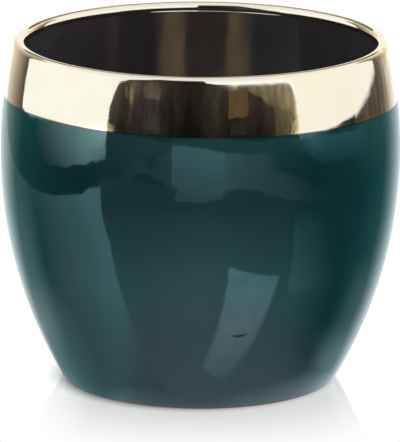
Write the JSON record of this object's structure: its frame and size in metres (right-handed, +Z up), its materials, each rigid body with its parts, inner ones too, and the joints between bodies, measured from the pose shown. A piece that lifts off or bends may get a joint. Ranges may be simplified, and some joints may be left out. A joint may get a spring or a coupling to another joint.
{
  "type": "flower pot",
  "caption": "Glazed ceramic cover pot for a house plant: a curved side that tapers to a bare foot ring, a dark glazed hollow and a rounded lip with a gold lustre band.",
  "frame": {"origin": "on the table, in the middle of the foot ring", "axes": "+Z up along the axis that the pot was turned about, X and Y level and equal"},
  "size_m": [0.15, 0.15, 0.13],
  "materials": {
    "clay": "matte",
    "teal_glaze": "polished",
    "dark_glaze": "polished",
    "gold_lustre": "polished"
  },
  "bodies": {
    "root": {"ceramic_body": "clay", "outer_glaze": "teal_glaze", "inner_glaze": "dark_glaze", "gold_rim_band": "gold_lustre"}
  },
  "joints": []
}
